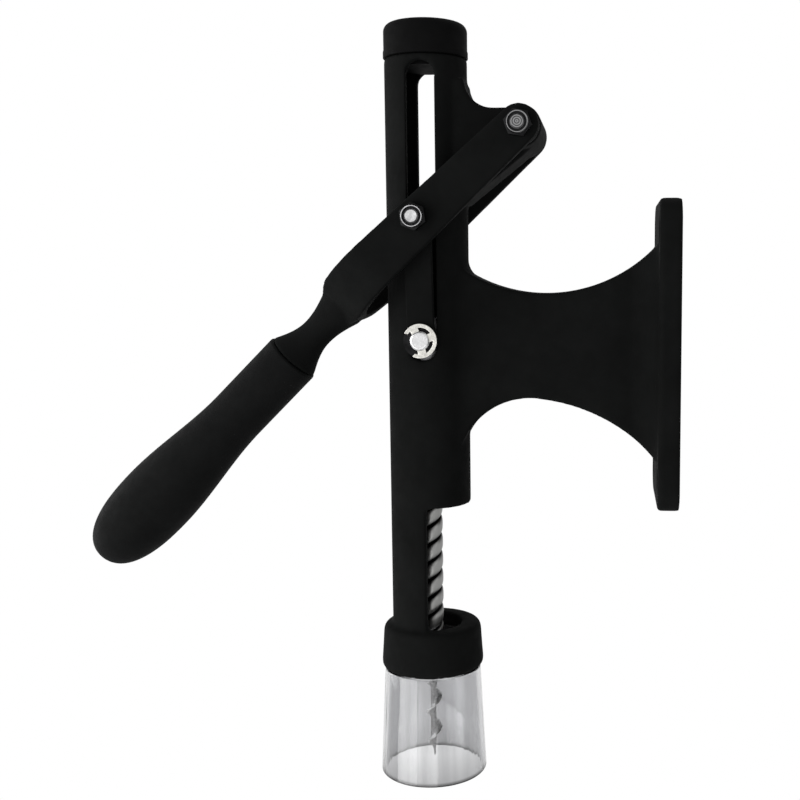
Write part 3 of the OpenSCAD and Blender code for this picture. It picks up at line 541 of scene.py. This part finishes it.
# %% [markdown]
# ## Lock nuts and bolts
# A lock nut is a six-sided nut with a round collar that holds a nylon ring. Its corners are cut by a cone,
# which gives the curved lines on its flats. The hexagon is a ring of vertices pulled onto six sides; its
# upper ring is lowered where the cone cuts it, and the collar is spun on top.

# %% Lock nuts and bolts
NUT_FLATS, NUT_H, NUT_TOP_R, CONE_SLOPE = 0.01, 0.004, 0.0047, 0.5
LIP_IN_R, LIP_FOOT = 0.0039, 0.0052
# Radius and height of the nut's collar, from its foot over the rolled lip to the bore
COLLAR_OUTLINE = ((0.0045, NUT_H), (0.0045, LIP_FOOT), (0.0044, 0.0057), (0.0042, 0.006), (0.00395, 0.006),
                  (0.0038, 0.0057), (0.0037, 0.005), (0.0031, 0.005), (0.0031, 0))
BOLT_R, BOLT_TIP_R, BOLT_CHAMFER, BOLT_OUT = 0.003, 0.0024, 0.0007, 0.0066
SINK_R, SINK_H = 0.0055, 0.0025
ARM_IN, ARM_OUT = 0.0223, 0.0283
front, back = Vector((0, -1, 0)), Vector((0, 1, 0))
nylon, tree, shader = new_finish("nylon_insert")
tone = two_tones(tree, noise(tree, 900, 3), (0.012, 0.012, 0.013), (0.02, 0.02, 0.021))
tree.links.new(tone, shader.inputs["Base Color"])
shader.inputs["Specular IOR Level"].default_value = 0.1
tree.links.new(between(tree, noise(tree, 700, 2), 0.4, 0.55), shader.inputs["Roughness"])
raise_bump(tree, shader, [(noise(tree, 2500, 2), 0.2, 0.00005)])


def hexagon(across_flats, height, flat_top):
    """A six-sided prism on Z = 0 whose upper corners are cut by a cone."""
    bm = bmesh.new()
    half = across_flats / 2
    bmesh.ops.create_circle(bm, cap_ends=False, radius=half, segments=48)
    for v in bm.verts:
        a = (atan2(v.co.y, v.co.x) + pi / 6) % (pi / 3) - pi / 6
        v.co *= 1 / cos(a)
    side = bmesh.ops.extrude_edge_only(bm, edges=bm.edges)
    upper = [g for g in side["geom"] if isinstance(g, bmesh.types.BMVert)]
    rim = [g for g in side["geom"] if isinstance(g, bmesh.types.BMEdge)]
    for v in upper:
        reach = Vector((v.co.x, v.co.y)).length
        v.co.z = height - max(reach - flat_top, 0) * CONE_SLOPE
    cone = bmesh.ops.extrude_edge_only(bm, edges=rim)
    inner = [g for g in cone["geom"] if isinstance(g, bmesh.types.BMVert)]
    for v in inner:
        reach = Vector((v.co.x, v.co.y)).length
        v.co = Vector((v.co.x * flat_top / reach, v.co.y * flat_top / reach, height))
    return bm


def lock_nut(matrix):
    """A lock nut at a matrix, as a mesh: the hexagon, then the collar with its rolled lip."""
    bm = hexagon(NUT_FLATS, NUT_H, NUT_TOP_R)
    edges = [e for e in bm.edges if len(e.link_faces) == 1 and all(v.co.z > 0 for v in e.verts)]
    for radius, height in COLLAR_OUTLINE:
        new = bmesh.ops.extrude_edge_only(bm, edges=edges)
        edges = [g for g in new["geom"] if isinstance(g, bmesh.types.BMEdge)]
        for v in [g for g in new["geom"] if isinstance(g, bmesh.types.BMVert)]:
            flat = Vector((v.co.x, v.co.y)).normalized() * radius
            v.co = Vector((flat.x, flat.y, height))
    open_edges = [e for e in bm.edges if len(e.link_faces) == 1]
    bmesh.ops.bridge_loops(bm, edges=open_edges)
    bmesh.ops.recalc_face_normals(bm, faces=bm.faces)
    # The hexagon's faces take material 0, which is painted near black as a dark reflection; the lip takes the
    # bright zinc.
    for f in bm.faces:
        spot = f.calc_center_median()
        inside = Vector(spot[:2]).length < LIP_IN_R
        f.material_index = 1 if inside else 2 if spot.z > LIP_FOOT else 0
    bm.transform(matrix)
    return bm


def joined(parts):
    """One bmesh of several, with their material numbers kept."""
    whole = bmesh.new()
    for part in parts:
        mesh = bpy.data.meshes.new("part")
        part.to_mesh(mesh)
        part.free()
        whole.from_mesh(mesh)
        bpy.data.meshes.remove(mesh)
    return whole


def dress_nut(piece, lip):
    """Adds the nylon and the rolled lip to a nut's finishes."""
    piece.data.materials.append(nylon)
    piece.data.materials.append(lip)


def bolt_shank(outline, length):
    """A spun bolt whose flat end is bright and whose last thread is painted dark as shade."""
    bm = spun(outline + [(BOLT_R, length - BOLT_CHAMFER), (BOLT_TIP_R, length), (0, length)], 48)
    for f in bm.faces:
        f.material_index = 1 if f.calc_center_median().z > length - SEAT_GAP else 0
    return bm


nut = lock_nut(stand(PIVOT + ARM_OUT * front, front) @ Matrix.Rotation(radians(20), 4, "Z"))
dress_nut(finish_piece(nut, "pivot_lock_nut", near_black_metal, "lever", "pivot_nut"), pivot_zinc)
nuts = [lock_nut(stand(CRANK + ARM_OUT * side, side) @ Matrix.Rotation(radians(8), 4, "Z"))
        for side in (front, back)]
dress_nut(finish_piece(joined(nuts), "link_lock_nuts", near_black_metal, "lever", "link_nuts"),
          lip_zinc)

shank = bolt_shank([(0, 0), (BOLT_R, 0)], 2 * ARM_OUT + BOLT_OUT)
head = hexagon(NUT_FLATS, NUT_H, NUT_TOP_R)
bmesh.ops.holes_fill(head, edges=[e for e in head.edges if len(e.link_faces) == 1], sides=0)
bmesh.ops.recalc_face_normals(head, faces=head.faces)
shank.transform(stand(PIVOT + ARM_OUT * back, front))
head.transform(stand(PIVOT + ARM_OUT * back, back))
bolt = joined([shank, head])
bolt = finish_piece(bolt, "pivot_bolt_turned", zinc_with_painted_shade, "lever", "pivot_bolt")
bolt.data.materials.append(pivot_zinc)

shanks = []
for side in (front, back):
    shank = bolt_shank([(0, 0), (SINK_R, 0), (BOLT_R, SINK_H)], ARM_OUT - ARM_IN - SEAT_GAP + BOLT_OUT)
    shank.transform(stand(CRANK + (ARM_IN + SEAT_GAP) * side, side))
    shanks.append(shank)
bolts = finish_piece(joined(shanks), "link_bolts_turned", zinc_with_painted_shade, "lever", "link_bolts")
bolts.data.materials.append(bolt_end)

bm = merged_copy("handle_screw")
round_edges(bm, 0.0003, 2)
finish_piece(bm, "grip_screw", bolt_end, "lever", "handle_screw")

# %% [markdown]
# ## Cross pin and clips
# The bright pin runs through the slot and carries both links. Its ends are turned, so its finish has rings
# about the pin's own line. The E clips are stamped from spring steel; stamping leaves one edge rolled, so
# they get a very small round.

# %% Cross pin and clips
bm = merged_copy("cross_pin")
round_edges(bm, 0.00015, 2)
finish_piece(bm, "cross_pin_turned", pin_steel, "slider", "cross_pin")
bm = merged_copy("pin_clips")
round_edges(bm, 0.00018, 2)
finish_piece(bm, "spring_clips", clip_steel, "slider", "pin_clips")

# %% [markdown]
# ## Spindle
# The spindle is a steel bar with two grooves that climb to the right. A section of the bar is a ring of
# vertices with two hollows. Spinning that ring while it climbs winds the whole bar in one operation, which
# is how a lathe would see it. A value stored on each vertex says how deep it lies in a groove, and the
# finish uses it to paint shade into the grooves and onto the sides of the lands next to them.

# %% Spindle
SPINDLE_R, LEAD = 0.005, 0.016
SPINDLE_HEAD_R, SPINDLE_HEAD_H = 0.0082, 0.0035
# A groove is a narrow hollow in a wide one: the share of the radius and the half width of each
GROOVE = ((0.2, radians(13)), (0.12, radians(36)))
GROOVE_DEEP = 0.0016
SPINDLE_FOOT, HEAD_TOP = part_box("spindle")[0][2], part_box("spindle")[1][2]
HEAD_FOOT = HEAD_TOP - SPINDLE_HEAD_H


def wound(section, low, high, lead, steps_per_turn):
    """Winds a closed section right-handed about the Z axis between two levels, in step with level 0."""
    turns = (high - low) / lead
    steps = round(steps_per_turn * turns)
    start = Matrix.Rotation(2 * pi * low / lead, 3, "Z")
    bmesh.ops.rotate(section, verts=section.verts, cent=(0, 0, 0), matrix=start)
    bmesh.ops.translate(section, verts=section.verts, vec=(0, 0, low))
    bmesh.ops.spin(section, geom=list(section.verts) + list(section.edges), cent=(0, 0, 0), axis=(0, 0, 1),
                   dvec=(0, 0, (high - low) / steps), angle=2 * pi * turns, steps=steps, use_merge=False)
    ends = [e for e in section.edges if len(e.link_faces) == 1]
    bmesh.ops.holes_fill(section, edges=ends, sides=0)
    bmesh.ops.recalc_face_normals(section, faces=section.faces)
    return section


bm = bmesh.new()
bmesh.ops.create_circle(bm, cap_ends=False, radius=SPINDLE_R, segments=80)
for v in bm.verts:
    a = (atan2(v.co.y, v.co.x) + pi / 2) % pi - pi / 2
    v.co *= 1 - sum(share * exp(-(a / half) ** 2) for share, half in GROOVE)
bm = wound(bm, SPINDLE_FOOT, HEAD_FOOT + 0.001, LEAD, 44)
outline = [(0, HEAD_FOOT), (SPINDLE_HEAD_R, HEAD_FOOT), (SPINDLE_HEAD_R, HEAD_TOP), (0, HEAD_TOP)]
head = spun(outline, 64)
round_edges(head, 0.0003, 2)
bm = joined([bm, head])
# Painted shade: how deep a vertex lies in a groove, used to darken the steel there.
depth = bm.verts.layers.float.new("groove_painted_shade")
for v in bm.verts:
    v[depth] = min(max((SPINDLE_R - Vector(v.co[:2]).length) / GROOVE_DEEP, 0), 1)
bm.transform(Matrix.Translation((AXIS_X, 0, 0)))
screw_steel, tree, shader = new_finish("drawn_spindle_steel")
shader.inputs["Metallic"].default_value = 1.0
groove_shade_attribute = tree.nodes.new("ShaderNodeAttribute")
groove_shade_attribute.attribute_name = "groove_painted_shade"
# Painted shade: the steel darkens from the middle of each land into the grooves.
tone = two_tones(tree, groove_shade_attribute.outputs["Fac"], (0.24, 0.24, 0.235), (0.01, 0.01, 0.01), 0.0, 0.5)
tree.links.new(tone, shader.inputs["Base Color"])
tree.links.new(between(tree, noise(tree, 800, 3, (1, 1, 0.3)), 0.32, 0.46), shader.inputs["Roughness"])
raise_bump(tree, shader, [(noise(tree, 2000, 2, (1, 1, 0.1)), 0.2, MARK_DEPTH)])
finish_piece(bm, "grooved_spindle", screw_steel, "drive_screw", "spindle", 40)

# %% [markdown]
# ## Worm
# The worm is an auger: one flat blade wound about a thin core, ending in a sharp point. It is wound like
# the spindle, from a section that is mostly blade, and the last part is drawn in towards the axis for the
# point. A stored depth sets the tone here too: the blade is bright at its edge and darkens towards the
# root, as painted shade in the hollow between the turns.

# %% Worm
WORM_R, WORM_PITCH, WORM_L, POINT_L = 0.0035, 0.014, 0.055, 0.0085
CORE_R, TIP_SHARE = 0.0014, 0.06
SHANK_R, SHANK_L, SHOULDER_L = 0.0025, 0.008, 0.0036
# Reach and half thickness of the blade, from its edge to its root
BLADE = [(WORM_R, 0.0003), (0.0029, 0.00062), (0.0022, 0.00085), (0.0013, 0.00095)]
bm = bmesh.new()
half = BLADE + [(CORE_R * cos(radians(a)), CORE_R * sin(radians(a))) for a in (70, 95, 120, 145, 168)]
loop = [bm.verts.new((x, y, 0)) for x, y in half + [(x, -y) for x, y in reversed(half)]]
for a, b in zip(loop, loop[1:] + loop[:1]):
    bm.edges.new((a, b))
bm = wound(bm, -WORM_L, -0.0004, WORM_PITCH, 48)
for v in bm.verts:
    above_tip = (v.co.z + WORM_L) / POINT_L
    if above_tip < 1:
        share = TIP_SHARE + (1 - TIP_SHARE) * above_tip
        v.co.x *= share
        v.co.y *= share
outline = [(0, -SHOULDER_L), (CORE_R, -SHOULDER_L), (WORM_R, -SEAT_GAP), (WORM_R, 0), (SHANK_R, 0),
           (SHANK_R, SHANK_L), (0, SHANK_L)]
bm = joined([bm, spun(outline, 48)])
# Painted shade: how far a vertex lies from the blade's edge towards the root, used to darken the steel there.
depth = bm.verts.layers.float.new("blade_root_painted_shade")
for v in bm.verts:
    v[depth] = min(max((WORM_R - Vector(v.co[:2]).length) / (WORM_R - CORE_R), 0), 1)
bm.transform(Matrix.Translation((AXIS_X, 0, SPINDLE_FOOT)))
worm_steel, tree, shader = new_finish("hardened_worm_steel")
shader.inputs["Metallic"].default_value = 1.0
blade_shade_attribute = tree.nodes.new("ShaderNodeAttribute")
blade_shade_attribute.attribute_name = "blade_root_painted_shade"
# Painted shade: bright at the blade's edge, dark at the root between the turns.
tone = two_tones(tree, blade_shade_attribute.outputs["Fac"], (0.66, 0.66, 0.655), (0.1, 0.1, 0.1), 0.3, 1.0)
tree.links.new(tone, shader.inputs["Base Color"])
tree.links.new(between(tree, noise(tree, 900, 3), 0.22, 0.36), shader.inputs["Roughness"])
raise_bump(tree, shader, [(noise(tree, 1500, 2, (1, 1, 0.3)), 0.3, MARK_DEPTH)])
finish_piece(bm, "bladed_worm", worm_steel, "drive_screw", "worm", 45)

# %% [markdown]
# ## Pieces inside the tube
# The slider, its rings and washers and the drive nut are mostly hidden. Their solids have the right shape, so
# they keep it and only get their metal.

# %% Pieces inside the tube
inner_finishes = {
    "lower_ring": oiled, "upper_ring": oiled, "crosshead": oiled, "swivel_nut": oiled, "nut_keys": oiled,
    "pivot_bush": bronze, "thrust_washer": bronze, "drive_nut": bronze, "bottle_stop_ring": rubber,
    "pivot_washers": near_black_metal, "pin_washers": near_black_metal,
}
for node, material in inner_finishes.items():
    frame["nodes"][node].material_slots[0].material = material
print("solids with a new finish:", len(inner_finishes))
